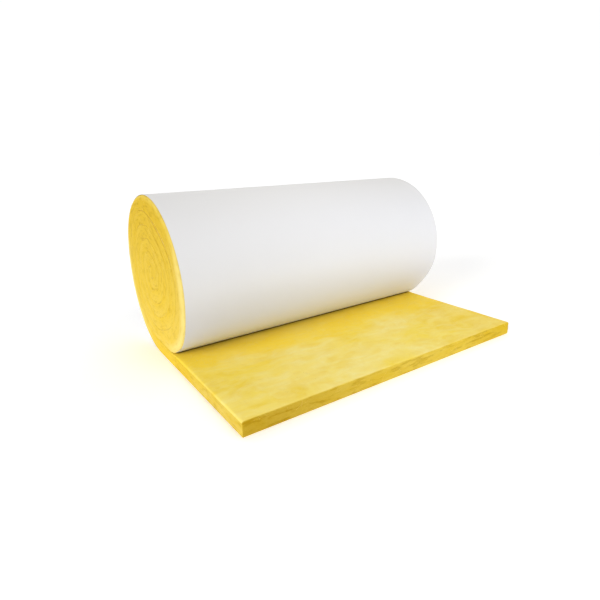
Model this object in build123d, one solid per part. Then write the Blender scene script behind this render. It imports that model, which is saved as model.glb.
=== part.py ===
from build123d import *
import math
import os

# Blanket as it is cut and sold, in millimetres.
blanket_width = 1200.0
blanket_thickness = 50.0
facing_thickness = 0.5
edge_rounding = 6.0

# Roll as it lies on the floor, with its free end drawn out to the front.
roll_diameter = 588.0
free_end_reach = 655.0
nip_reach = 154.0
tuck_angle = 20.0

# Gap between the turns as it shows on both ends, and the eye the turns wind down to.
turn_gap = 4.0
turn_gap_depth = 15.0
least_turn_radius = 15.0
eye_length = 26.0
eye_width = 6.0

# The frame's origin is on the floor, under the middle of the whole outline, and X runs along the roll.
roll_radius = roll_diameter / 2
axis_y = (free_end_reach - roll_radius) / 2
front_y = axis_y - free_end_reach
nip_y = axis_y - nip_reach
nip_z = blanket_thickness + turn_gap
half_turn_step = blanket_thickness / 2
half_turn = 180.0
floor_side = -90.0

# The roll's front leaves its circle at the tuck angle and bends in tighter, down to the nip.
tuck_start = half_turn + tuck_angle
tuck_way = Vector(math.cos(math.radians(tuck_start)), math.sin(math.radians(tuck_start)))
roll_centre = Vector(axis_y, roll_radius)
nip = Vector(nip_y, nip_z)
nip_from_centre = nip - roll_centre
nip_from_tuck = nip_from_centre - tuck_way * roll_radius
tuck_radius = nip_from_tuck.length**2 / (2 * (roll_radius - tuck_way.dot(nip_from_centre)))
tuck_centre = roll_centre + tuck_way * (roll_radius - tuck_radius)
nip_way = (nip - tuck_centre).normalized()
tuck_sweep = (math.degrees(math.atan2(nip_way.Y, nip_way.X)) - tuck_start) % 360


def outer_line(depth, start_y):
    """Draw the blanket's outer side at a depth below its skin, from under the free end round to the nip."""
    Line((start_y, depth), (axis_y, depth))
    CenterArc(roll_centre, roll_radius - depth, floor_side, tuck_start - floor_side)
    CenterArc(tuck_centre, tuck_radius - depth, tuck_start, tuck_sweep)
    return nip - nip_way * depth


def wool_blanket():
    """Make the wool as one solid, with its turns cut into both ends and its eye open from end to end."""
    with BuildPart() as wool:
        with BuildSketch(Plane.YZ):
            with BuildLine():
                tuck_end = outer_line(facing_thickness, front_y)
                Polyline(
                    tuck_end,
                    (nip_y, blanket_thickness),
                    (front_y, blanket_thickness),
                    (front_y, facing_thickness),
                )
            make_face()
        extrude(amount=blanket_width / 2, both=True)
        cut_ends = wool.faces().filter_by(Axis.X)
        front_edges = wool.faces().sort_by(Axis.Y)[0].edges().filter_by(Axis.X)
        fillet(cut_ends.edges() + front_edges, edge_rounding)

        half_turns, eye_at, eye_side = turn_plan()
        for end in (-1, 1):
            with BuildSketch(Plane.YZ.offset(end * blanket_width / 2)):
                with BuildLine():
                    turn_gap_line(half_turns)
                make_face()
            extrude(amount=-end * turn_gap_depth, mode=Mode.SUBTRACT)
        with BuildSketch(Plane.YZ):
            with Locations(eye_at + Vector(eye_side * (eye_length - eye_width) / 2, 0)):
                SlotOverall(eye_length, eye_width)
        extrude(amount=blanket_width / 2, both=True, mode=Mode.SUBTRACT)
    return wool.part


def turn_plan():
    """Work out the half turns of the gap as (centre, radius, start angle), and where they leave the eye."""
    first_radius = roll_radius - blanket_thickness - turn_gap / 2
    count = int((first_radius - least_turn_radius) // half_turn_step) + 1
    upper_centre = roll_centre + Vector(0, half_turn_step)
    half_turns = []
    for k in range(count):
        radius = first_radius - k * half_turn_step
        if k % 2 == 0:
            half_turns.append((roll_centre, radius, floor_side))
        else:
            half_turns.append((upper_centre, radius, floor_side + half_turn))
    centre, radius, start = half_turns[-1]
    eye_side = 1 if start > 0 else -1
    return half_turns, centre - Vector(0, eye_side * radius), eye_side


def turn_gap_line(half_turns):
    """Draw the closed outline of the gap, from its mouth in the nip, round every half turn and back."""
    Line((nip_y - turn_gap, blanket_thickness), (axis_y, blanket_thickness))
    for centre, radius, start in half_turns:
        CenterArc(centre, radius + turn_gap / 2, start, half_turn)
    for centre, radius, start in half_turns:
        CenterArc(centre, radius - turn_gap / 2, start, half_turn)
    Line((nip_y - turn_gap, nip_z), (axis_y, nip_z))
    Line((nip_y - turn_gap, blanket_thickness), (nip_y - turn_gap, nip_z))
    centre, radius, start = half_turns[-1]
    way = Vector(0, -1 if start > 0 else 1)
    Line(centre + way * (radius + turn_gap / 2), centre + way * (radius - turn_gap / 2))


def facing():
    """Make the facing as one thin sheet on the blanket's outer side, clear of the wool's rounded edges."""
    sheet_front = front_y + edge_rounding
    with BuildPart() as sheet:
        with BuildSketch(Plane.YZ):
            with BuildLine():
                outer_end = outer_line(0, sheet_front)
                inner_end = outer_line(facing_thickness, sheet_front)
                Line(outer_end, inner_end)
                Line((sheet_front, 0), (sheet_front, facing_thickness))
            make_face()
        extrude(amount=blanket_width / 2 - edge_rounding, both=True)
    return sheet.part


os.makedirs("parts", exist_ok=True)
for name, piece in (("wool_blanket", wool_blanket()), ("facing", facing())):
    export_step(piece, f"parts/{name}.step")
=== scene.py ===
"""Dresses the insulation roll with its wool, loose fibres and facing, in a plain studio."""

import logging
import math
from dataclasses import dataclass, field
from enum import Enum
from typing import Any

import bmesh
import bpy
import numpy as np
from mathutils import Matrix, Vector, noise

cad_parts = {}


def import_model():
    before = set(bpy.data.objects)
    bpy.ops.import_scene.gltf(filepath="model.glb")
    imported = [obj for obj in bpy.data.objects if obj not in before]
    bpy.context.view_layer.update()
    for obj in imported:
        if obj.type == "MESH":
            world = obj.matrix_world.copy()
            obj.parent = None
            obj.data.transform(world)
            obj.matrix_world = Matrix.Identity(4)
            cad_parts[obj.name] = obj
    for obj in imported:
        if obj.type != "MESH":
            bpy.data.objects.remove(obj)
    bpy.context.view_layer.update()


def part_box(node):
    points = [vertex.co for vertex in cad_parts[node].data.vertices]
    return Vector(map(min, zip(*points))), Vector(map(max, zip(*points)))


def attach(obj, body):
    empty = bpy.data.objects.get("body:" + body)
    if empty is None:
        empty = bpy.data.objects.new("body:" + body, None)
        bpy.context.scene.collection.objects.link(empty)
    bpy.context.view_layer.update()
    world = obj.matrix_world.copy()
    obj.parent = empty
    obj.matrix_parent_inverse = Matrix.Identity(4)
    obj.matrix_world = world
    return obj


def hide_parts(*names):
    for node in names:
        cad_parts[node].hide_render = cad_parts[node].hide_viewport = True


LOG = logging.getLogger("insulation_roll")
PICTURE_SIDE_PX = 600
FULL_TURN = 2 * math.pi
HALF_TURN = math.pi
TINY = 1e-9

Colour = tuple[float, float, float]
Point = tuple[float, float, float]
Span = tuple[float, float]
Inputs = dict[str | int, Any]
Array = np.ndarray
Socket = bpy.types.NodeSocket
Material = bpy.types.Material
Object = bpy.types.Object
MIDDLE: Point = (0.1, -0.15, 0.2)
COOL: Colour = (0.79, 0.94, 1.30)
LEFT_SPREAD = math.radians(30.0)
FRONT_SPREAD = math.radians(40.0)


class Place(Enum):
    """The named vertex attributes that the blanket's nodes read."""

    FLAT = "flat_place"
    OPEN = "open_wool"
    # How dark a cut face is, with painted shade on the upper turns' ends
    CUT = "cut_face"


class LampKind(Enum):
    """The kinds of lamp: a square box near the roll, or a wide light, alike all over."""

    BOX = "AREA"
    DIFFUSER = "SUN"


class Blend(Enum):
    """The ways in which two colours are mixed."""

    MIX = "MIX"
    MULTIPLY = "MULTIPLY"


@dataclass(frozen=True)
class Value:
    """A number that comes out of a node, with the operators that add Math nodes."""

    graph: "Graph"
    socket: Socket

    def _math(self, operation: str, *terms: Any) -> "Value":
        """Adds a Math node on values or links, in order."""
        sockets = dict(enumerate(terms))
        return self.graph.value("ShaderNodeMath", sockets, operation=operation)

    def __add__(self, other: Any) -> "Value":
        """Adds two numbers."""
        return self._math("ADD", self, other)

    def __radd__(self, other: Any) -> "Value":
        """Adds this number to a plain one."""
        return self._math("ADD", other, self)

    def __sub__(self, other: Any) -> "Value":
        """Takes a number from this one."""
        return self._math("SUBTRACT", self, other)

    def __rsub__(self, other: Any) -> "Value":
        """Takes this number from a plain one."""
        return self._math("SUBTRACT", other, self)

    def __mul__(self, other: Any) -> "Value":
        """Multiplies two numbers."""
        return self._math("MULTIPLY", self, other)

    def __rmul__(self, other: Any) -> "Value":
        """Multiplies a plain number by this one."""
        return self._math("MULTIPLY", other, self)

    def clamped(self) -> "Value":
        """Keeps the number between 0 and 1."""
        return self.graph.value("ShaderNodeClamp", {"Value": self})


class Graph:
    """A node tree under construction, for a material, for the world or for geometry."""

    def __init__(self, tree: bpy.types.NodeTree) -> None:
        """Takes the tree that the nodes go into."""
        self.tree = tree

    def node(self, kind: str, sockets: Inputs | None = None, **settings: Any) -> bpy.types.Node:
        """Adds a node, with its settings first and then its sockets.

        Args:
            kind: the node's type.
            sockets: its inputs by name or number, as plain values or as links.
            settings: its properties; stops are a ramp's (place, grey) pairs.

        Returns:
            The node.
        """
        made = self.tree.nodes.new(kind)
        for name, setting in settings.items():
            if name == "stops":
                self._stops(made.color_ramp, setting)
            else:
                setattr(made, name, setting)
        for name, given in (sockets or {}).items():
            if isinstance(given, Value):
                self.tree.links.new(given.socket, made.inputs[name])
            elif isinstance(given, Socket):
                self.tree.links.new(given, made.inputs[name])
            else:
                made.inputs[name].default_value = given
        return made

    def value(
        self, kind: str, sockets: Inputs | None = None, output: str | int = 0, **settings: Any
    ) -> Value:
        """Adds a node and takes one of its outputs as a number."""
        return Value(self, self.node(kind, sockets, **settings).outputs[output])

    def vector(self, operation: str, *terms: Any) -> Socket:
        """Adds a Vector Math node on vectors or links, in order, and gives its vector."""
        sockets = dict(enumerate(terms))
        return self.node("ShaderNodeVectorMath", sockets, operation=operation).outputs[0]

    def span(self, source: Value, limits: Span) -> Value:
        """Goes smoothly from 0 at a number's first limit to 1 at its second."""
        sockets = {"Value": source, "From Min": limits[0], "From Max": limits[1]}
        return self.value("ShaderNodeMapRange", sockets, interpolation_type="SMOOTHSTEP")

    def mix(self, factor: Any, first: Any, second: Any, blend: Blend = Blend.MIX) -> Socket:
        """Mixes two colours.

        Args:
            factor: how much of the second colour shows.
            first: a colour or a link.
            second: a colour or a link.
            blend: how they are mixed.

        Returns:
            The mixed colour's socket.
        """
        sockets = {0: factor, 6: _rgba(first), 7: _rgba(second)}
        mixed = self.node("ShaderNodeMix", sockets, data_type="RGBA", blend_type=blend.value)
        return mixed.outputs[2]

    @staticmethod
    def _stops(ramp: bpy.types.ColorRamp, stops: list[Span]) -> None:
        """Sets a ramp's two stops.

        Args:
            ramp: the node's ramp.
            stops: the (place, grey) pairs, in order.
        """
        for element, (place, grey) in zip(ramp.elements, stops):
            element.position = place
            element.color = (grey, grey, grey, 1.0)


def _ease(value: Array, start: float, end: float) -> Array:
    """Goes smoothly from 0 at the start to 1 at the end."""
    share = np.clip((value - start) / (end - start), 0.0, 1.0)
    return share * share * (3.0 - 2.0 * share)


def _hill(value: Array, top: float, spread: float) -> Array:
    """Rises to 1 at the top and falls away on both sides."""
    return np.exp(-(((value - top) / spread) ** 2))


def _grown(pair: Span, mask: Value) -> Value:
    """Gives a pair's first number, with its second added as a mask grows."""
    return pair[0] + mask * pair[1]


def _join(*parts: Any) -> Array:
    """Puts arrays one after another."""
    return np.concatenate(parts)


def _rgba(colour: Any) -> Any:
    """Gives a plain colour its alpha, and leaves a link as it is."""
    return (*colour, 1.0) if isinstance(colour, tuple) else colour


@dataclass(frozen=True)
class Grain:
    """A noise: its grains to a metre each way, its octaves, and where in its range it shows."""

    per_metre: Point
    detail: float
    rough: float = 0.55
    bare: float = 0.0
    full: float = 1.0


class Finish:
    """A material that is made once, from nodes."""

    def __init__(self, name: str) -> None:
        """Makes an empty material.

        Args:
            name: the material's name.
        """
        self.material = bpy.data.materials.new(name)
        self.material.use_nodes = True
        self.material.node_tree.nodes.clear()
        self.graph = Graph(self.material.node_tree)

    def finish(self, sockets: dict[str, Any]) -> Material:
        """Adds the shader and its output.

        Args:
            sockets: the Principled shader's inputs.

        Returns:
            The material.
        """
        shader = self.graph.node("ShaderNodeBsdfPrincipled", sockets)
        self.graph.node("ShaderNodeOutputMaterial", {"Surface": shader.outputs["BSDF"]})
        return self.material

    def noise(self, place: Any, grain: Grain) -> Value:
        """Adds a noise whose grain is stretched.

        Args:
            place: where the noise is read.
            grain: its scale and its octaves.

        Returns:
            The noise, from 0 to 1.
        """
        at = self.graph.vector("MULTIPLY", place, grain.per_metre)
        sockets = {"Vector": at, "Scale": 1.0, "Detail": grain.detail, "Roughness": grain.rough}
        return self.graph.value("ShaderNodeTexNoise", sockets, "Fac")

    def shown(self, source: Value, grain: Grain) -> Value:
        """Goes from 0 to 1 over the part of a noise's range in which it shows."""
        stops = sorted([(grain.bare, 0.0), (grain.full, 1.0)])
        return self.graph.value("ShaderNodeValToRGB", {"Fac": source}, "Color", stops=stops)

    def bump(self, height: Value, strength: float, depth_m: float) -> Socket:
        """Turns a height into the shader's normal."""
        sockets = {"Strength": strength, "Distance": depth_m, "Height": height}
        return self.graph.node("ShaderNodeBump", sockets).outputs["Normal"]

    def place(self) -> Socket:
        """Reads the place on the piece, in the part's frame."""
        return self.graph.node("ShaderNodeTexCoord").outputs["Object"]

    def split(self, place: Socket) -> tuple[Value, ...]:
        """Takes a place apart into its X, Y and Z."""
        parts = self.graph.node("ShaderNodeSeparateXYZ", {0: place})
        return tuple(Value(self.graph, parts.outputs[name]) for name in "XYZ")

    def attribute(self, place: Place) -> bpy.types.Node:
        """Reads one of the blanket's own attributes."""
        return self.graph.node("ShaderNodeAttribute", attribute_name=place.value)


@dataclass(frozen=True)
class WoolFinish:
    """Matted glass fibre in thin layers: pale wisps, deep patches and darker cut fibres, with
    painted light and shade on the ends, along the free end and by the nip.
    """

    deep: Colour = (0.850, 0.575, 0.018)
    body: Colour = (0.935, 0.725, 0.110)
    pale: Colour = (0.950, 0.825, 0.322)
    # Painted light: a brighter, more saturated yellow towards the nip that offsets the nip's
    # shade
    nip_lit: Colour = (0.985, 0.705, 0.046)
    cut: Colour = (0.435, 0.254, 0.003)
    crumb: Colour = (0.58, 0.375, 0.016)
    # Painted shadow: dark brown on the free end where it runs into the nip
    nip_shade_paint: Colour = (0.10, 0.050, 0.003)
    sheen: Colour = (1.0, 0.88, 0.50)

    # Noises on the unrolled blanket
    drift_m: Point = (5.15, 2.02, 4.76)
    swirl_m: float = 0.07
    swirls_per_metre: float = 9.0
    clouds: Grain = Grain((3.6, 6.0, 18.0), 2.0, bare=0.40, full=0.62)
    patches: Grain = Grain((8.0, 15.0, 30.0), 3.0, bare=0.56, full=0.36)
    wisps: Grain = Grain((13.0, 48.0, 80.0), 3.0, 0.5, bare=0.44, full=0.70)
    layers: Grain = Grain((8.0, 9.0, 240.0), 3.0, bare=0.55, full=0.35)
    crumbs: Grain = Grain((18.0, 24.0, 90.0), 3.0, 0.6, bare=0.50, full=0.70)
    fibres: Grain = Grain((90.0, 380.0, 600.0), 3.0, 0.65)

    # Where each mask begins and where it is full
    # Where the painted shade towards the free end's right end begins and is full
    right_shade_m: Span = (0.26, 0.50)
    # Where the painted light on the free end's cut faces, lighter towards the right, begins and
    # is full
    right_lit_m: Span = (-0.62, 0.02)
    # Where the painted light towards the nip begins and is full
    nip_lit_m: Span = (0.22, 0.46)
    # Where the painted nip shadow lies: along the blanket, below its outer side, and not on its
    # sides
    nip_m: Span = (0.498, 0.505)
    nip_skin_m: Span = (0.0484, 0.0494)
    nip_side_m2: Span = (0.338, 0.350)
    rim_m: Span = (-0.004, 0.022)
    rim_low_m: float = 0.020
    low_m: Span = (0.33, 0.50)
    roll_m: Span = (0.66, 0.90)
    inner_turn_m: Span = (2.28, 2.44)
    # How far the edge of the painted light towards the nip wanders
    nip_lit_wander_m: float = -0.20
    inner_hides: float = 0.85
    part_cut_rise: float = 3.0
    full_cut_rise: float = 4.0
    full_cut_from: float = 0.6
    # Painted light: where the ends are less dark than this, the inner turns are paler
    low_turns_lit_below: float = 0.5
    fleck_rise: float = 1.6

    # How much of a colour shows, and in a pair how much more or less where a mask is full
    patch_share: float = 0.52
    # How much of the painted shade towards the right end shows
    right_shade_share: float = 0.60
    # How much of the painted light towards the nip shows
    nip_lit_share: float = 0.80
    rim_kept: Span = (0.30, 0.20)
    wisp_share: Span = (0.28, -0.18)
    cloud_share: Span = (0.60, -0.50)
    part_cut_share: float = 0.5
    full_cut_share: float = 0.85
    # Painted light on the inner turns' ends, paler lower down
    low_turns_lit_share: Span = (0.70, 0.60)
    low_turns_lit_wisps: float = 1.20
    # Fewer pale wisps in the painted shade at the right end
    right_shade_wisps: float = 0.45
    # Painted highlight on the outer turn's rim, with more of it lower down
    rim_highlight: Span = (0.34, 0.20)
    # Painted light: the outer turns' ends paler towards the floor
    floor_lit_paint: float = 0.20
    seam_share: float = 0.10
    fleck_share: Span = (0.32, -0.10)
    inner_flecks: float = 0.06
    fray: Span = (0.62, 0.30)
    fray_fibres: float = 0.40
    # Less of the cut's colour towards the right, as painted light
    right_lit_fray: float = 0.36
    # More of the cut's colour at the right end, as painted shade
    right_shade_fray: float = 0.08
    # Less of the cut's colour on the rim, for its painted highlight
    rim_highlight_unfray: float = 0.45
    # How much of the painted nip shadow shows
    nip_shade_share: float = 0.70
    fibre_tone: Span = (0.97, 0.06)

    # Relief
    fibre_relief: float = 0.40
    wisp_relief: float = 0.50
    layer_relief: float = 0.30
    relief_strength: float = 0.5
    relief_m: float = 0.0022

    def material(self) -> Material:
        """Makes the wool's material, on the blanket's own unrolled coordinates.

        Returns:
            The material.
        """
        finish = Finish("glass_wool")
        graph = finish.graph
        flat = finish.attribute(Place.FLAT).outputs["Vector"]
        cut = Value(graph, finish.attribute(Place.CUT).outputs["Fac"])
        drifted = graph.vector("ADD", flat, self.drift_m)
        sockets = {"Vector": drifted, "Scale": self.swirls_per_metre, "Detail": 1.0}
        swirl = graph.node("ShaderNodeTexNoise", sockets).outputs["Color"]
        swayed = graph.vector("MULTIPLY_ADD", swirl, (self.swirl_m,) * 3, drifted)
        clouds = finish.noise(swayed, self.clouds)
        wisps = finish.noise(swayed, self.wisps)
        layers = finish.noise(swayed, self.layers)
        fibres = finish.noise(swayed, self.fibres)
        cloud = finish.shown(clouds, self.clouds)
        streak = finish.shown(wisps, self.wisps)
        seam = finish.shown(layers, self.layers)
        patch = finish.shown(finish.noise(swayed, self.patches), self.patches)
        crumb = finish.shown(finish.noise(drifted, self.crumbs), self.crumbs)

        across, along, depth = finish.split(flat)
        roll = graph.span(along, self.roll_m)
        # Painted shade: the free end darkens towards its right end
        edge = graph.span(across, self.right_shade_m) * (1.0 - roll)
        # Painted light: the free end's cut faces lighter towards the right
        right_lit = graph.span(across, self.right_lit_m) * (1.0 - roll)
        # Painted light towards the nip, with a wandering edge
        nip_lit = graph.span(along + (clouds - 0.5) * self.nip_lit_wander_m, self.nip_lit_m)
        inner_turn = graph.span(along, self.inner_turn_m)
        outer_turn = roll * (1.0 - inner_turn * self.inner_hides)
        low = 1.0 - graph.span(finish.split(finish.place())[2], self.low_m)
        rim = (1.0 - graph.span(depth - low * self.rim_low_m, self.rim_m)) * outer_turn
        # Painted shadow on the free end's top where it runs under the roll into the nip, kept
        # off its sides
        under = graph.span(along, self.nip_m) * graph.span(depth, self.nip_skin_m)
        beside = graph.span(across * across, self.nip_side_m2)
        nip_shade_paint = under * (1.0 - beside) * (1.0 - roll)
        part_cut = (cut * self.part_cut_rise).clamped() * self.part_cut_share
        full_cut = ((cut - self.full_cut_from) * self.full_cut_rise).clamped()

        # Deep patches, and the painted shade towards the right end
        deeper = patch * self.patch_share + edge * self.right_shade_share
        colour = graph.mix(deeper.clamped(), self.body, self.deep)
        # The painted light's colour towards the nip, with less of it on the outer turn's rim
        kept = nip_lit * self.nip_lit_share - rim * _grown(self.rim_kept, low)
        colour = graph.mix(kept.clamped(), colour, self.nip_lit)
        # Pale wisps and clouds, fewer in the painted light towards the nip
        wispy = streak * _grown(self.wisp_share, nip_lit)
        wispy = wispy + cloud * _grown(self.cloud_share, nip_lit)
        matted = (1.0 - part_cut) * (1.0 - full_cut * self.full_cut_share)
        # Painted light: the inner turns' ends are paler lower down, where they are less dark
        low_turns_lit_pattern = _grown(self.low_turns_lit_share, cloud) + streak * self.low_turns_lit_wisps
        low_turns_lit = inner_turn * (self.low_turns_lit_below - cut).clamped() * low_turns_lit_pattern
        paler = wispy * matted * (1.0 - edge * self.right_shade_wisps) + low_turns_lit
        # Painted highlight on the outer turn's rim, and painted light on the outer turns' ends
        # towards the floor
        paler = paler + rim * _grown(self.rim_highlight, low) + outer_turn * low * self.floor_lit_paint
        colour = graph.mix(paler.clamped(), colour, self.pale)
        colour = graph.mix(seam * self.seam_share, colour, self.deep)
        flecks = (cut * self.fleck_rise).clamped() * _grown(self.fleck_share, roll)
        flecks = flecks + inner_turn * self.inner_flecks
        colour = graph.mix(crumb * flecks, colour, self.crumb)
        # The cut's colour: less of it towards the right as painted light, and a little more at
        # the right end as painted shade
        frayed = _grown(self.fray, crumb) + fibres * self.fray_fibres
        frayed = frayed - right_lit * self.right_lit_fray + edge * self.right_shade_fray
        # Less of the cut's colour on the rim, for its painted highlight
        colour = graph.mix(cut * frayed * (1.0 - rim * self.rim_highlight_unfray), colour, self.cut)
        # The painted nip shadow
        colour = graph.mix(nip_shade_paint * self.nip_shade_share, colour, self.nip_shade_paint)
        tone = _grown(self.fibre_tone, fibres)
        colour = graph.mix(1.0, colour, tone.socket, Blend.MULTIPLY)
        relief = fibres * self.fibre_relief + wisps * self.wisp_relief
        relief = relief + layers * self.layer_relief
        return finish.finish(
            {
                "Base Color": colour,
                "Roughness": 0.95,
                "Specular IOR Level": 0.08,
                "Sheen Weight": 0.05,
                "Sheen Roughness": 0.55,
                "Sheen Tint": _rgba(self.sheen),
                "Normal": finish.bump(relief, self.relief_strength, self.relief_m),
            }
        )


@dataclass(frozen=True)
class FibreFinish:
    """Single glass fibres that have come loose, paler than the mat that they lie on."""

    body: Colour = (0.82, 0.60, 0.10)
    pale: Colour = (0.88, 0.74, 0.30)
    grains: Grain = Grain((45.0, 45.0, 45.0), 2.0)

    def material(self) -> Material:
        """Makes the loose fibres' material.

        Returns:
            The material.
        """
        finish = Finish("loose_fibre")
        tone = finish.noise(finish.place(), self.grains)
        colour = finish.graph.mix(tone, self.body, self.pale)
        return finish.finish(
            {"Base Color": colour, "Roughness": 0.7, "Specular IOR Level": 0.3}
        )


@dataclass(frozen=True)
class FacingFinish:
    """Smooth white vapour barrier sheet with a soft sheen and a faint papery grain."""

    white: Colour = (0.766, 0.754, 0.740)
    shade: Colour = (0.748, 0.736, 0.722)
    # Painted light: a cooler white down by the nip that offsets the wool's yellow bounce
    bounce_offset_paint: Colour = (0.750, 0.765, 0.872)
    clouds: Grain = Grain((4.0, 4.0, 4.0), 3.0)
    grains: Grain = Grain((420.0, 420.0, 420.0), 2.0)
    # Where the painted cooler white by the nip lies: low down and at the front
    low_m: Span = (0.05, 0.32)
    front_m: Span = (0.05, 0.15)
    left_m: Span = (-0.62, 0.10)
    cloud_share: float = 0.8
    # Painted shade: greyer to the left, and in a belt by the nip
    left_painted_shade: float = 0.05
    belt_painted_shade: Span = (0.045, 0.035)
    rough: Span = (0.40, 0.10)
    grain_rough: float = 0.06
    relief_strength: float = 0.10
    relief_m: float = 0.0003

    def material(self) -> Material:
        """Makes the facing's material, painted cooler down by the nip against the wool's yellow
        bounce, with painted shade to the left and in a belt.

        Returns:
            The material.
        """
        finish = Finish("white_facing")
        graph = finish.graph
        at = finish.place()
        cloud = finish.noise(at, self.clouds)
        grain = finish.noise(at, self.grains)
        x, y, z = finish.split(at)
        left = 1.0 - graph.span(x, self.left_m)
        low = (1.0 - graph.span(z, self.low_m)) * (1.0 - graph.span(y, self.front_m))
        # The belt of painted shade is full halfway down and nothing at both limits
        belt = low * (1.0 - low) * 4.0
        colour = graph.mix(cloud * self.cloud_share, self.white, self.shade)
        # Painted light: cooler down by the nip
        colour = graph.mix(low, colour, self.bounce_offset_paint)
        # Painted shade: greyer to the left and in the belt
        tone = 1.0 - left * self.left_painted_shade - belt * _grown(self.belt_painted_shade, left)
        colour = graph.mix(1.0, colour, tone.socket, Blend.MULTIPLY)
        return finish.finish(
            {
                "Base Color": colour,
                "Roughness": _grown(self.rough, cloud) + grain * self.grain_rough,
                "Specular IOR Level": 0.20,
                "Normal": finish.bump(grain, self.relief_strength, self.relief_m),
            }
        )


@dataclass(frozen=True)
class FloorFinish:
    """Matt white studio floor, lit a little from below like a light table."""

    white: Colour = (1.0, 1.0, 1.0)
    shade: Colour = (0.99, 0.99, 0.99)
    clouds: Grain = Grain((1.5, 1.5, 1.5), 2.0)
    glow: float = 0.188

    def material(self) -> Material:
        """Makes the floor's material.

        Returns:
            The material.
        """
        finish = Finish("studio_floor")
        cloud = finish.noise(finish.place(), self.clouds)
        return finish.finish(
            {
                "Base Color": finish.graph.mix(cloud, self.white, self.shade),
                "Roughness": 0.9,
                "Emission Color": (1.0, 1.0, 1.0, 1.0),
                "Emission Strength": self.glow,
            }
        )


@dataclass(frozen=True)
class Winding:
    """The spiral that the blanket's outer side follows, seen from an end of the roll.

    An angle of 0 points from the roll's axis to the floor, and angles grow towards the back.
    """

    axis_y: float
    radius: float
    front_y: float
    thickness: float = 0.050
    nip_reach: float = 0.154
    nip_gap: float = 0.005
    nip_run: float = math.radians(7.0)
    tuck: float = math.radians(290.0)
    turns: float = 5.5
    eye_radius: float = 0.004
    least_cosine: float = 0.2

    # Open gap between the turns, which is widest in the upper front
    turn_gap: float = 0.0003
    loose_gap: float = 0.0075
    loose_fade: float = 0.3
    loose_at: float = math.radians(226.0)
    loose_spread: float = math.radians(30.0)

    # How the wound turns stray from an even spiral; a ripple is its height, waves and start
    slack_run: float = math.radians(40.0)
    slack_fade: float = 0.55
    slack_lead: float = 0.4
    sunk: float = 0.021
    sunk_at: float = math.radians(212.0)
    sunk_spread: float = math.radians(30.0)
    full: float = 0.017
    full_at: float = math.radians(278.0)
    full_spread: float = math.radians(32.0)
    ripples: tuple[Point, ...] = ((0.0016, 3.0, 0.7), (0.0011, 5.37, 2.1))

    @property
    def nip_y(self) -> float:
        """The place along Y where the roll's front meets the free end."""
        return self.axis_y - self.nip_reach

    @property
    def nip_height(self) -> float:
        """The height at which the roll's front meets the free end."""
        return self.thickness + self.nip_gap

    @property
    def wound_radius(self) -> float:
        """The distance from the axis to the free end's upper side, where the roll is on it."""
        return self.radius - self.thickness - self.turn_gap

    @property
    def nip_angle(self) -> float:
        """The angle at which the roll's front meets the free end."""
        return FULL_TURN - math.atan2(self.nip_reach, self.radius - self.nip_height)

    def tuck_arc(self) -> Span:
        """Works out the tighter arc that brings the roll's front in to the nip.

        Returns:
            The arc's radius, and how far its centre is from the axis along the tuck's ray.
        """
        way = np.array([math.sin(self.tuck), -math.cos(self.tuck)])
        nip = np.array([-self.nip_reach, self.nip_height - self.radius])
        chord = nip - way * self.radius
        arc = float(chord @ chord / (2 * (self.radius - way @ nip)))
        return arc, self.radius - arc

    def reach(self, angle: Array) -> Array:
        """Gives the spiral's distance from the roll's axis.

        Args:
            angle: the angles, from 0 to the winding's end.

        Returns:
            The distances.
        """
        step = self.thickness / 2
        arc, off = self.tuck_arc()
        along = off * np.cos(angle - self.tuck)
        tucked = along + np.sqrt(np.maximum(arc**2 - off**2 + along**2, 0))
        closed = _ease(angle, self.nip_angle, self.nip_angle + self.nip_run)
        below = self.radius - self.nip_height + (self.nip_gap - self.turn_gap) * closed
        flat = below / np.maximum(np.cos(angle), self.least_cosine)
        half = np.maximum(np.floor(angle / HALF_TURN + TINY) - 2, 0)
        lift = np.where(half % 2 == 1, step, 0.0)
        rise = -lift * np.cos(angle)
        ring = self.wound_radius - half * step
        wound = rise + np.sqrt(np.maximum(ring**2 - lift**2 + rise**2, 0))
        wound = wound + self.slack(angle)
        return np.select(
            [angle <= self.tuck, angle <= self.nip_angle, angle < FULL_TURN],
            [np.full_like(angle, self.radius), tucked, flat],
            wound,
        )

    def slack(self, angle: Array) -> Array:
        """Gives how far the soft turns stray from the even spiral.

        Args:
            angle: the angles, from 0 to the winding's end.

        Returns:
            The distances, which are largest in the outer turn's front.
        """
        begun = np.clip((angle - FULL_TURN) / self.slack_run, 0, 1)
        turns = (angle - 2 * FULL_TURN) / FULL_TURN + self.slack_lead
        fade = self.slack_fade ** np.maximum(turns, 0)
        turn = np.mod(angle, FULL_TURN)
        full = self.full * _hill(turn, self.full_at, self.full_spread)
        sunk = self.sunk * _hill(turn, self.sunk_at, self.sunk_spread)
        ripple = sum(high * np.sin(waves * angle + at) for high, waves, at in self.ripples)
        return begun * (fade * (full - sunk) + ripple)

    def inner_reach(self, angle: Array) -> Array:
        """Gives the distance from the axis to the inner side of the turn at each angle."""
        wound = angle + FULL_TURN < self.turns * FULL_TURN
        return np.where(wound, self.reach(angle + FULL_TURN), self.eye_radius)

    def gap(self, angle: Array) -> Array:
        """Gives the open gap on the inner side of the turn at each angle."""
        fade = self.loose_fade ** np.floor(angle / FULL_TURN)
        return self.turn_gap + self.loose_gap * fade * self.looseness(angle)

    def looseness(self, angle: Array) -> Array:
        """Gives how far the turns stand apart, from 0 to 1 in the upper front."""
        return _hill(np.mod(angle, FULL_TURN), self.loose_at, self.loose_spread)

    def point(self, angle: Array, reach: Array) -> tuple[Array, Array]:
        """Turns an angle and a distance from the axis into Y and Z."""
        return self.axis_y + reach * np.sin(angle), self.radius - reach * np.cos(angle)


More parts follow.
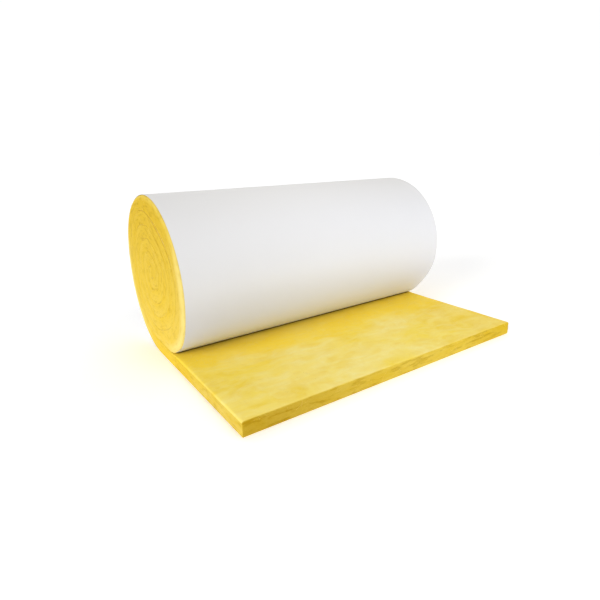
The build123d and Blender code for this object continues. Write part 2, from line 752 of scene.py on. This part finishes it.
@dataclass(frozen=True)
class Slump:
    """How the soft roll strays from an even one: it leans, sags and has a skewed front cut."""

    winding: Winding
    width: float
    skew: float = 0.006
    lean: float = 0.006
    lean_from: float = 0.22
    sag: float = 0.008
    sag_at: float = math.radians(305.0)
    sag_spread: float = math.radians(17.0)
    nip_fade: float = 0.05

    def settle(self, x: Array, y: Array, z: Array) -> tuple[Array, Array, Array]:
        """Moves points of the even roll to where they lie in the soft one.

        Args:
            x: the points' places along the roll.
            y: their places from front to back.
            z: their heights.

        Returns:
            The moved places, in the same order.
        """
        wind = self.winding
        across, drop = y - wind.axis_y, wind.radius - z
        angle = np.mod(np.arctan2(across, drop), FULL_TURN)
        share = np.hypot(across, drop) / wind.radius
        side = 2 * x / self.width
        clear = _ease(z, wind.nip_height, wind.nip_height + self.nip_fade)
        push = -side * self.sag * _hill(angle, self.sag_at, self.sag_spread) * clear
        grow = push * share / wind.radius
        out = side * self.lean * _ease(z, self.lean_from, 2 * wind.radius)
        drawn = np.clip((wind.nip_y - y) / (wind.nip_y - wind.front_y), 0.0, 1.0)
        ahead = side * self.skew * drawn * (1.0 - clear)
        return x + out, y + across * grow - ahead, z - drop * grow


@dataclass
class Sections:
    """The blanket's cross-sections, one after another along its length."""

    outer_y: Array
    outer_z: Array
    way_y: Array
    way_z: Array
    depth: Array
    along: Array
    inset: Array
    outer_bend: Array
    inner_bend: Array
    cut: Array
    free: Array


@dataclass
class Outline:
    """The rounded outline of every cross-section, with its depth below the outer side."""

    x: Array
    depth: Array
    bare: Array
    cut: Array


@dataclass
class WoolBlanket:
    """The glass wool: one long soft blanket, wound up, with its free end drawn out flat."""

    winding: Winding
    slump: Slump
    width: float
    facing_thickness: float = 0.0005
    finish: WoolFinish = field(default_factory=WoolFinish)

    # Steps of the mesh
    free_step: float = 0.008
    turn_steps: int = 128
    columns: int = 24
    corner_steps: int = 4
    side_steps: int = 9
    fine_cuts: int = 4

    # Roundings of the front cut and of the long edges, and where they change
    front_bend: float = 0.003
    front_degrees: tuple[float, ...] = (80.0, 62.0, 42.0, 22.0, 0.0)
    edge_bend: float = 0.0065
    floor_bend: float = 0.004
    rim_bend: float = 0.011
    lip_bend: float = 0.0004
    loose_bend: float = 0.0030
    least_bend: float = 0.0003
    most_bend: float = 0.45
    nip_run_m: Span = (-0.03, 0.01)
    rim_run: float = math.radians(60.0)
    hidden_run: Span = (math.radians(-12.0), math.radians(3.0))
    ragged: float = 0.20
    ragged_waves: Span = (2.3, 0.71)
    ragged_start: float = 1.1

    # How dark the ends are: all over, more with the height as painted shade on the upper turns,
    # and more on the free end
    end_cut: float = 0.53
    end_tone: Point = (0.70, 0.66, 0.25)

    # How bare the long edges are, on the free end and on the roll
    outer_bare: Span = (0.05, 0.35)
    inner_bare: Span = (0.7, 0.3)

    def sections(self) -> Sections:
        """Works out the cross-sections.

        Returns:
            The sections, from the free end's cut edge to the eye.
        """
        wind = self.winding
        bends = np.radians(self.front_degrees)
        edge_y = wind.front_y + self.front_bend * (1 - np.sin(bends))
        count = int((wind.axis_y - edge_y[-1]) / self.free_step)
        free_y = np.linspace(edge_y[-1], wind.axis_y, count, endpoint=False)[1:]
        flat_y = _join(edge_y, free_y)
        flat_depth = np.full_like(flat_y, wind.thickness - self.facing_thickness)
        inside = _ease(flat_y, *(wind.nip_y + run for run in self.nip_run_m))
        flat_bend = self.edge_bend + (self.lip_bend - self.edge_bend) * inside

        steps = int(self.turn_steps * wind.turns)
        angle = np.linspace(0.0, wind.turns * FULL_TURN, steps)
        outer = wind.reach(angle) - self.facing_thickness
        depth = outer - wind.inner_reach(angle) - wind.gap(angle)
        turn_y, turn_z = wind.point(angle, outer)
        grown = _ease(angle, 0.0, self.rim_run)
        rim = self.floor_bend + (self.rim_bend - self.floor_bend) * grown
        hidden = _ease(angle, *(wind.nip_angle + run for run in self.hidden_run))
        first, second = self.ragged_waves
        waves = np.sin(first * angle + self.ragged_start) * np.sin(second * angle)
        loose = np.maximum(wind.looseness(angle), self.ragged * (0.5 + 0.5 * waves))
        lip = self.lip_bend + (self.loose_bend - self.lip_bend) * loose
        turn_bend = rim + (lip - rim) * hidden

        outer_y = _join(flat_y, turn_y)
        outer_z = _join(np.full_like(flat_y, self.facing_thickness), turn_z)
        travel = np.hypot(np.diff(outer_y), np.diff(outer_z))
        inset, cut = np.zeros_like(outer_y), np.zeros_like(outer_y)
        inset[: len(bends)] = self.front_bend * (1 - np.cos(bends))
        cut[: len(bends)] = np.sin(bends) ** 2
        return Sections(
            outer_y=outer_y,
            outer_z=outer_z,
            way_y=_join(np.zeros_like(flat_y), -np.sin(angle)),
            way_z=_join(np.ones_like(flat_y), np.cos(angle)),
            depth=_join(flat_depth, depth),
            along=_join([0.0], np.cumsum(travel)),
            inset=inset,
            outer_bend=_join(np.full_like(flat_y, self.floor_bend), turn_bend),
            inner_bend=_join(flat_bend, lip),
            cut=cut,
            free=_join(flat_y < wind.nip_y, np.zeros(steps, dtype=bool)),
        )

    def outline(self, cut: Sections) -> Outline:
        """Lays out the rounded outline of every cross-section.

        Args:
            cut: the cross-sections.

        Returns:
            Each section's outline, from its outer side round by the right end and back.
        """
        inset, free = cut.inset[:, None], cut.free[:, None]
        half = self.width / 2 - inset
        low = inset * self.floor_bend / self.front_bend
        high = cut.depth[:, None] - inset
        most = self.most_bend * (high - low)
        below = np.clip(cut.outer_bend[:, None] - low, self.least_bend, most)
        above = np.clip(cut.inner_bend[:, None] - inset, self.least_bend, most)
        arc = np.linspace(0, math.pi / 2, self.corner_steps + 1)[1:][None, :]
        side = np.linspace(0, 1, self.side_steps + 1)[1:][None, :]
        row = np.linspace(-1, 1, self.columns + 1)[None, :]
        height = cut.outer_z[:, None] / (2 * self.winding.radius)
        # Painted shade: the ends darken with height, the upper turns more than the lower
        plain, shade_with_height, on_free = self.end_tone
        dark = self.end_cut * (plain + shade_with_height * height + on_free * free)

        def stretch(x: Array, depth: Array, bare: Any, end: Any = 0.0) -> tuple[Array, ...]:
            """Spreads one stretch of the outline, and how dark it is, over the sections."""
            return np.broadcast_arrays(x, depth, bare, np.maximum(cut.cut[:, None], end))

        right = [
            stretch(
                half - below + below * np.sin(arc),
                low + below - below * np.cos(arc),
                np.where(free, *self.outer_bare),
                dark,
            ),
            stretch(half, low + below + side * (high - low - below - above), 1.0, dark),
            stretch(
                half - above + above * np.cos(arc),
                high - above + above * np.sin(arc),
                np.where(free, *self.inner_bare),
                np.where(free, 0.0, dark),
            ),
        ]
        outer = stretch(row * (half - below), low, 0.0)
        inner = stretch(-row[:, 1:] * (half - above), high, np.where(free, 1.0, 0.0))
        up = [np.concatenate(parts, axis=1) for parts in zip(*right)]
        down = [part[:, -2::-1] for part in (-up[0], *up[1:])]
        whole = zip(outer, up, inner, down)
        return Outline(*(np.concatenate(parts, axis=1) for parts in whole))

    def build(self) -> Object:
        """Builds the wool as a closed mesh, with a finer free end.

        Returns:
            The wool, with its unrolled coordinates.
        """
        cut = self.sections()
        line = self.outline(cut)
        x, y, z = self.slump.settle(
            line.x,
            cut.outer_y[:, None] + cut.way_y[:, None] * line.depth,
            cut.outer_z[:, None] + cut.way_z[:, None] * line.depth,
        )
        mesh = bmesh.new()
        flat_layer = mesh.verts.layers.float_vector.new(Place.FLAT.value)
        open_layer = mesh.verts.layers.float.new(Place.OPEN.value)
        cut_layer = mesh.verts.layers.float.new(Place.CUT.value)
        rings = []
        for i, along in enumerate(cut.along):
            ring = []
            for j in range(x.shape[1]):
                vert = mesh.verts.new((x[i, j], y[i, j], z[i, j]))
                vert[flat_layer] = (line.x[i, j], along, line.depth[i, j])
                vert[open_layer] = line.bare[i, j]
                vert[cut_layer] = line.cut[i, j]
                ring.append(vert)
            rings.append(ring)
        for near, far in zip(rings, rings[1:]):
            for j in range(len(near)):
                k = (j + 1) % len(near)
                mesh.faces.new((near[j], near[k], far[k], far[j]))
        fine = self._cap(mesh, rings[0])
        self._cap(mesh, rings[-1])
        first = self.columns + 2 * self.corner_steps + self.side_steps
        for ring, free in zip(rings, cut.free):
            if free:
                for j in range(first, first + self.columns):
                    fine.add(mesh.edges.get((ring[j], ring[j + 1])))
        bmesh.ops.subdivide_edges(
            mesh, edges=list(fine), cuts=self.fine_cuts, use_grid_fill=True
        )
        bmesh.ops.recalc_face_normals(mesh, faces=mesh.faces)
        return _object("wool_blanket_soft", mesh, self.finish.material())

    def _cap(
        self, mesh: bmesh.types.BMesh, ring: list[bmesh.types.BMVert]
    ) -> set[bmesh.types.BMEdge]:
        """Closes one end of the blanket with a grid.

        Args:
            mesh: the mesh under construction.
            ring: the end section's outline.

        Returns:
            The grid's edges that run across the blanket's width.
        """
        flat_layer = mesh.verts.layers.float_vector[Place.FLAT.value]
        open_layer = mesh.verts.layers.float[Place.OPEN.value]
        cut_layer = mesh.verts.layers.float[Place.CUT.value]
        cols = self.columns
        rows = 2 * self.corner_steps + self.side_steps
        grid = [ring[: cols + 1]]
        for v in range(1, rows):
            right = ring[cols + v]
            left = ring[(2 * cols + 2 * rows) - v]
            flat_left, flat_right = Vector(left[flat_layer]), Vector(right[flat_layer])
            line = [left]
            for c in range(1, cols):
                share = c / cols
                vert = mesh.verts.new(left.co.lerp(right.co, share))
                vert[flat_layer] = flat_left.lerp(flat_right, share)
                vert[open_layer] = 1.0
                vert[cut_layer] = 1.0
                line.append(vert)
            grid.append([*line, right])
        grid.append(ring[cols + rows : 2 * cols + rows + 1][::-1])
        for low, high in zip(grid, grid[1:]):
            for c in range(cols):
                mesh.faces.new((low[c], low[c + 1], high[c + 1], high[c]))
        across = set()
        for line in grid:
            across.update(mesh.edges.get((line[c], line[c + 1])) for c in range(cols))
        return across


class NodeBuild:
    """A Geometry Nodes modifier on a piece, from its tree to the baked mesh."""

    def __init__(self, name: str, piece: Object) -> None:
        """Starts a tree.

        Args:
            name: the tree's name.
            piece: the piece that it runs on.
        """
        self.piece = piece
        self.tree = bpy.data.node_groups.new(name, "GeometryNodeTree")
        self.graph = Graph(self.tree)
        self.settings: dict[str, Any] = {}
        for way in ("INPUT", "OUTPUT"):
            self._socket("Geometry", "NodeSocketGeometry", way)

    def _socket(self, name: str, kind: str, way: str = "INPUT") -> str:
        """Adds one of the tree's own sockets, and gives its identifier."""
        made = self.tree.interface.new_socket(name, in_out=way, socket_type=kind)
        return made.identifier

    def inputs(self, sizes: dict[str, float], seed: int) -> dict[str, Value]:
        """Adds the tree's named inputs.

        Args:
            sizes: each size by its name.
            seed: the seed of whatever is random.

        Returns:
            The group input's sockets by name.
        """
        for name, size in sizes.items():
            self.settings[self._socket(name, "NodeSocketFloat")] = size
        self.settings[self._socket("Seed", "NodeSocketInt")] = seed
        node = self.graph.node("NodeGroupInput")
        names = ["Geometry", *sizes, "Seed"]
        return {name: Value(self.graph, node.outputs[name]) for name in names}

    def attribute(self, place: Place, kind: str = "FLOAT") -> Value:
        """Reads one of the wool's named attributes."""
        sockets = {"Name": place.value}
        return self.graph.value("GeometryNodeInputNamedAttribute", sockets, data_type=kind)

    def close(self, geometry: Socket, material: Material) -> None:
        """Ends the tree in Realize Instances and Set Material.

        Args:
            geometry: what the tree has made.
            material: its finish.
        """
        real = self.graph.node("GeometryNodeRealizeInstances", {"Geometry": geometry})
        sockets = {"Geometry": real.outputs[0], "Material": material}
        dressed = self.graph.node("GeometryNodeSetMaterial", sockets)
        self.graph.node("NodeGroupOutput", {"Geometry": dressed.outputs[0]})

    def bake(self) -> None:
        """Runs the tree on the piece and keeps the result as its plain mesh."""
        modifier = self.piece.modifiers.new(self.tree.name, "NODES")
        modifier.node_group = self.tree
        for identifier, setting in self.settings.items():
            modifier[identifier] = setting
        bpy.context.view_layer.update()
        seen = self.piece.evaluated_get(bpy.context.evaluated_depsgraph_get())
        mesh = bpy.data.meshes.new_from_object(seen)
        self.piece.modifiers.remove(modifier)
        old = self.piece.data
        self.piece.data = mesh
        bpy.data.meshes.remove(old)
        for polygon in mesh.polygons:
            polygon.use_smooth = True


@dataclass
class Fluff:
    """Geometry nodes that swell the bare wool in soft lumps."""

    lump: float = 0.0036
    lump_scale: float = 7.0
    tuft: float = 0.0026
    tuft_scale: float = 40.0
    tuft_seed: float = 11.0
    seed: int = 3

    def apply(self, piece: Object) -> None:
        """Swells a piece and bakes the result into its mesh.

        Args:
            piece: the wool, with its attributes.
        """
        build = NodeBuild("wool_fluff", piece)
        graph = build.graph
        sizes = {
            "Lump": self.lump,
            "Lump scale": self.lump_scale,
            "Tuft": self.tuft,
            "Tuft scale": self.tuft_scale,
        }
        given = build.inputs(sizes, self.seed)
        flat = build.attribute(Place.FLAT, "FLOAT_VECTOR")
        bare = build.attribute(Place.OPEN)
        place = graph.node("GeometryNodeInputPosition").outputs["Position"]
        seed = given["Seed"]
        swell = self._noise(graph, place, given["Lump scale"], seed)
        pile = self._noise(graph, flat, given["Tuft scale"], seed + self.tuft_seed)
        rise = (swell * given["Lump"] + pile * given["Tuft"]) * bare
        normal = graph.node("GeometryNodeInputNormal").outputs["Normal"]
        scaled = {0: normal, "Scale": rise}
        offset = graph.node("ShaderNodeVectorMath", scaled, operation="SCALE")
        sockets = {"Geometry": given["Geometry"], "Offset": offset.outputs[0]}
        moved = graph.node("GeometryNodeSetPosition", sockets)
        build.close(moved.outputs[0], piece.data.materials[0])
        build.bake()

    @staticmethod
    def _noise(graph: Graph, place: Any, scale: Value, seed: Value) -> Value:
        """Adds a noise about zero that is set by a seed."""
        sockets = {"Vector": place, "W": seed, "Scale": scale, "Detail": 2.0, "Roughness": 0.5}
        return graph.value("ShaderNodeTexNoise", sockets, noise_dimensions="4D") - 0.5


@dataclass
class LooseFibres:
    """Geometry nodes that lay loose fibres on the bare wool."""

    density: float = 3000.0
    length: float = 0.022
    lift: float = 0.0030
    tip: float = 0.4
    bow: float = 0.005
    radius: float = 0.00009
    sizes: Span = (0.4, 1.5)
    steps: int = 4
    sides: int = 3
    on_cut: float = 0.35
    clear: float = 0.016
    clear_rise: float = 100.0
    bare_rise: float = 2.5
    bare_drop: float = 1.5
    seed: int = 19
    finish: FibreFinish = field(default_factory=FibreFinish)

    def build(self, wool: Object) -> Object:
        """Scatters the fibres over the wool.

        Args:
            wool: the finished blanket.

        Returns:
            The fibres, as one mesh.
        """
        piece = bpy.data.objects.new("loose_fibres", wool.data.copy())
        bpy.context.collection.objects.link(piece)
        build = NodeBuild("fibre_scatter", piece)
        graph = build.graph
        sizes = {
            "Density": self.density,
            "Length": self.length,
            "Lift": self.lift,
            "Bow": self.bow,
            "Radius": self.radius,
            "On cut": self.on_cut,
            "Clear": self.clear,
        }
        given = build.inputs(sizes, self.seed)
        seed = given["Seed"]
        density = self._share(build, given) * given["Density"]
        spread = graph.node(
            "GeometryNodeDistributePointsOnFaces",
            {"Mesh": given["Geometry"], "Density": density, "Seed": seed},
            distribute_method="RANDOM",
        )
        angle = self._random(graph, (0.0, FULL_TURN), seed)
        about = {"Axis": (0.0, 0.0, 1.0), "Angle": angle}
        spin = graph.node("FunctionNodeAxisAngleToRotation", about).outputs[0]
        turns = {"Rotation": spread.outputs["Rotation"], "Rotate By": spin}
        turned = graph.node("FunctionNodeRotateRotation", turns, rotation_space="LOCAL")
        size = self._random(graph, self.sizes, seed + 1.0)
        sockets = {
            "Points": spread.outputs["Points"],
            "Instance": self._fibre(graph, given),
            "Rotation": turned.outputs[0],
            "Scale": self._point(graph, size, size, size),
        }
        laid = graph.node("GeometryNodeInstanceOnPoints", sockets)
        build.close(laid.outputs[0], self.finish.material())
        build.bake()
        return piece

    def _share(self, build: NodeBuild, given: dict[str, Value]) -> Value:
        """Works out where fibres lie: on bare wool, fewer on its cuts, none by the floor.

        Args:
            build: the tree under construction.
            given: its inputs.

        Returns:
            The share of the full density.
        """
        bare, cut = build.attribute(Place.OPEN), build.attribute(Place.CUT)
        place = build.graph.node("GeometryNodeInputPosition").outputs["Position"]
        height = build.graph.value("ShaderNodeSeparateXYZ", {0: place}, "Z")
        raised = ((height - given["Clear"]) * self.clear_rise).clamped()
        shown = (bare * self.bare_rise - self.bare_drop).clamped()
        return shown * (1.0 - cut * (1.0 - given["On cut"])) * raised

    def _fibre(self, graph: Graph, given: dict[str, Value]) -> Socket:
        """Makes one bowed fibre.

        Args:
            graph: the tree under construction.
            given: its inputs.

        Returns:
            The fibre's mesh.
        """
        half = given["Length"] * 0.5
        arch = {
            "Resolution": self.steps,
            "Start": self._point(graph, half * -1.0, 0.0, 0.0),
            "Middle": self._point(graph, 0.0, given["Bow"], given["Lift"]),
            "End": self._point(graph, half, 0.0, given["Lift"] * self.tip),
        }
        curve = graph.node("GeometryNodeCurveQuadraticBezier", arch)
        ring = {"Resolution": self.sides, "Radius": given["Radius"]}
        section = graph.node("GeometryNodeCurvePrimitiveCircle", ring, mode="RADIUS")
        ends = {"Curve": curve.outputs[0], "Profile Curve": section.outputs[0]}
        return graph.node("GeometryNodeCurveToMesh", {**ends, "Fill Caps": True}).outputs[0]

    @staticmethod
    def _point(graph: Graph, x: Any, y: Any, z: Any) -> Socket:
        """Makes a vector from three numbers."""
        return graph.node("ShaderNodeCombineXYZ", {"X": x, "Y": y, "Z": z}).outputs[0]

    @staticmethod
    def _random(graph: Graph, limits: Span, seed: Value) -> Value:
        """Makes a random number between two limits."""
        sockets = {2: limits[0], 3: limits[1], "Seed": seed}
        return graph.value("FunctionNodeRandomValue", sockets, 1, data_type="FLOAT")


@dataclass
class Facing:
    """The thin white sheet on the blanket's outer side, from the free end into the nip."""

    winding: Winding
    slump: Slump
    width: float
    front_y: float
    thickness: float = 0.0005
    step: float = 0.009
    columns: int = 48
    hidden_run: float = math.radians(18.0)
    even_rows: int = 17
    ripple: float = 0.0012
    ripple_scale: float = 4.5
    finish: FacingFinish = field(default_factory=FacingFinish)
    length: float = 0.0

    def build(self) -> Object:
        """Builds the sheet as a closed mesh, and works out its flat length.

        Returns:
            The sheet.
        """
        wind = self.winding
        count = int((wind.axis_y - self.front_y) / self.step)
        flat_y = np.linspace(self.front_y, wind.axis_y, count, endpoint=False)
        steps = int(wind.radius * FULL_TURN / self.step)
        last = min(wind.nip_angle + self.hidden_run, FULL_TURN)
        angle = np.linspace(0.0, last, steps)
        turn_y, turn_z = wind.point(angle, wind.reach(angle))
        y = _join(flat_y, turn_y)
        z = _join(np.zeros_like(flat_y), turn_z)
        travel = np.hypot(np.diff(y), np.diff(z))
        along = _join([0.0], np.cumsum(travel))
        self.length = float(along[-1])
        way_y = _join(np.zeros_like(flat_y), np.sin(angle))
        way_z = _join(-np.ones_like(flat_y), -np.cos(angle))
        upper = np.clip(np.sin(angle / 2) ** 2 * 2, 0, 1)
        shown = _join(np.zeros_like(flat_y), upper)
        shown[-self.even_rows :] = 0.0

        across = np.linspace(-self.width / 2, self.width / 2, self.columns + 1)
        scale = self.ripple_scale
        rise = np.array(
            [[noise.noise(Vector((u, v, 0.0)) * scale) for u in across] for v in along]
        )
        rise = (0.5 + 0.5 * rise) * self.ripple * shown[:, None]
        x, y, z = self.slump.settle(
            np.broadcast_to(across, rise.shape),
            y[:, None] + way_y[:, None] * rise,
            z[:, None] + way_z[:, None] * rise,
        )
        mesh = bmesh.new()
        rows = [[mesh.verts.new(place) for place in zip(*row)] for row in zip(x, y, z)]
        for near, far in zip(rows, rows[1:]):
            for c in range(self.columns):
                mesh.faces.new((near[c], far[c], far[c + 1], near[c + 1]))
        bmesh.ops.recalc_face_normals(mesh, faces=mesh.faces)
        for edge in mesh.edges:
            edge.smooth = not edge.is_boundary
        piece = _object("facing_sheet", mesh, self.finish.material())
        solid = piece.modifiers.new("film", "SOLIDIFY")
        solid.thickness = self.thickness
        solid.offset = -1.0
        return piece


def _object(name: str, mesh: bmesh.types.BMesh, material: Material) -> Object:
    """Turns a mesh under construction into a smooth object.

    Args:
        name: the piece's name.
        mesh: its mesh, which is freed.
        material: its finish.

    Returns:
        The object, at the origin.
    """
    data = bpy.data.meshes.new(name)
    mesh.to_mesh(data)
    mesh.free()
    data.materials.append(material)
    for polygon in data.polygons:
        polygon.use_smooth = True
    piece = bpy.data.objects.new(name, data)
    bpy.context.collection.objects.link(piece)
    return piece


@dataclass(frozen=True)
class Lamp:
    """A soft lamp that points at the roll; its size is a box's side or a diffuser's angle."""

    name: str
    kind: LampKind
    place: Point
    power: float
    size: float
    colour: Colour = (1.0, 1.0, 1.0)

    def build(self) -> None:
        """Hangs the lamp and points it at the roll."""
        light = bpy.data.lights.new(self.name, self.kind.value)
        light.energy = self.power
        light.color = self.colour
        if self.kind is LampKind.BOX:
            light.shape = "SQUARE"
            light.size = self.size
        else:
            light.angle = self.size
        holder = bpy.data.objects.new(self.name, light)
        way = Vector(MIDDLE) - Vector(self.place)
        turned = way.to_track_quat("-Z", "Y").to_matrix().to_4x4()
        holder.matrix_world = Matrix.Translation(self.place) @ turned
        bpy.context.collection.objects.link(holder)


@dataclass
class Studio:
    """The pale floor, the lamps and the camera."""

    eye: Point = (-1.0498, -1.3730, 0.7170)
    azimuth: float = math.radians(-33.366)
    elevation: float = math.radians(16.601)
    roll: float = math.radians(-1.242)
    focal_px: float = 445.0
    centre_px: Span = (285.70, 284.88)
    sensor_mm: float = 36.0
    backdrop: float = 1.02
    backdrop_way: Point = (0.45, 0.89, 0.0)
    backdrop_span: Span = (0.2, 0.65)
    room: float = 0.450
    floor_side: float = 60.0
    floor_steps: int = 8
    lamps: tuple[Lamp, ...] = (
        Lamp("left_diffuser", LampKind.DIFFUSER, (-3.65, -0.81, 1.44), 1.5, LEFT_SPREAD),
        Lamp("front_diffuser", LampKind.DIFFUSER, (0.62, -3.08, 2.88), 0.68, FRONT_SPREAD),
        Lamp("right_box", LampKind.BOX, (1.0, -1.7, 0.31), 2.8, 0.6, COOL),
        Lamp("floor_box", LampKind.BOX, (0.9, -2.0, 0.11), 3.2, 0.2, COOL),
        Lamp("top_box", LampKind.BOX, (-0.2, -0.45, 1.5), 1.9, 0.6),
    )

    def build(self) -> Object:
        """Builds the studio.

        Returns:
            The floor.
        """
        self._world()
        for lamp in self.lamps:
            lamp.build()
        self._camera()
        bpy.context.scene.view_settings.view_transform = "Standard"
        mesh = bmesh.new()
        steps = self.floor_steps
        bmesh.ops.create_grid(
            mesh, x_segments=steps, y_segments=steps, size=self.floor_side / 2
        )
        return _object("studio_floor", mesh, FloorFinish().material())

    def _world(self) -> None:
        """Fills the room with an even light, brighter from the backdrop behind the roll."""
        world = bpy.data.worlds.new("studio_light")
        world.use_nodes = True
        world.node_tree.nodes.clear()
        graph = Graph(world.node_tree)
        way = graph.node("ShaderNodeTexCoord").outputs["Generated"]
        ways = {0: way, 1: self.backdrop_way}
        behind = graph.value("ShaderNodeVectorMath", ways, "Value", operation="DOT_PRODUCT")
        share = graph.span(behind, self.backdrop_span)
        colour = graph.mix(share, (self.room,) * 3, (self.backdrop,) * 3)
        light = graph.node("ShaderNodeBackground", {"Color": colour})
        graph.node("ShaderNodeOutputWorld", {"Surface": light.outputs[0]})
        bpy.context.scene.world = world

    def _camera(self) -> None:
        """Places the camera as the photograph was taken."""
        camera = bpy.data.cameras.new("camera")
        camera.sensor_width = self.sensor_mm
        camera.lens = self.focal_px * self.sensor_mm / PICTURE_SIDE_PX
        camera.shift_x = (PICTURE_SIDE_PX / 2 - self.centre_px[0]) / PICTURE_SIDE_PX
        camera.shift_y = (self.centre_px[1] - PICTURE_SIDE_PX / 2) / PICTURE_SIDE_PX
        holder = bpy.data.objects.new("camera", camera)
        back = Vector(
            (
                math.sin(self.azimuth) * math.cos(self.elevation),
                -math.cos(self.azimuth) * math.cos(self.elevation),
                math.sin(self.elevation),
            )
        )
        right = Vector((math.cos(self.azimuth), math.sin(self.azimuth), 0.0))
        up = back.cross(right)
        turned = Matrix((right, up, back)).transposed() @ Matrix.Rotation(self.roll, 3, "Z")
        holder.matrix_world = Matrix.Translation(self.eye) @ turned.to_4x4()
        bpy.context.collection.objects.link(holder)
        bpy.context.scene.camera = holder


def main() -> None:
    """Builds the roll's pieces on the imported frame, then the studio."""
    logging.basicConfig(level=logging.INFO, format="%(name)s: %(message)s")
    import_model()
    wool_low, wool_high = (Vector(corner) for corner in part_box("wool_blanket"))
    face_low, face_high = (Vector(corner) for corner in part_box("facing"))
    radius = face_high.z / 2
    winding = Winding(axis_y=face_high.y - radius, radius=radius, front_y=wool_low.y)

    width = wool_high.x - wool_low.x
    slump = Slump(winding, width)
    wool = WoolBlanket(winding, slump, width).build()
    Fluff().apply(wool)
    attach(wool, "root")
    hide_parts("wool_blanket")
    LOG.info("wool blanket: %d faces", len(wool.data.polygons))

    fibres = LooseFibres().build(wool)
    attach(fibres, "root")
    LOG.info("loose fibres: %d faces", len(fibres.data.polygons))

    facing = Facing(winding, slump, width=face_high.x - face_low.x, front_y=face_low.y)
    sheet = facing.build()
    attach(sheet, "root")
    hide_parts("facing")
    LOG.info("facing: %.3f m of sheet", facing.length)

    Studio().build()


if __name__ == "__main__":
    main()
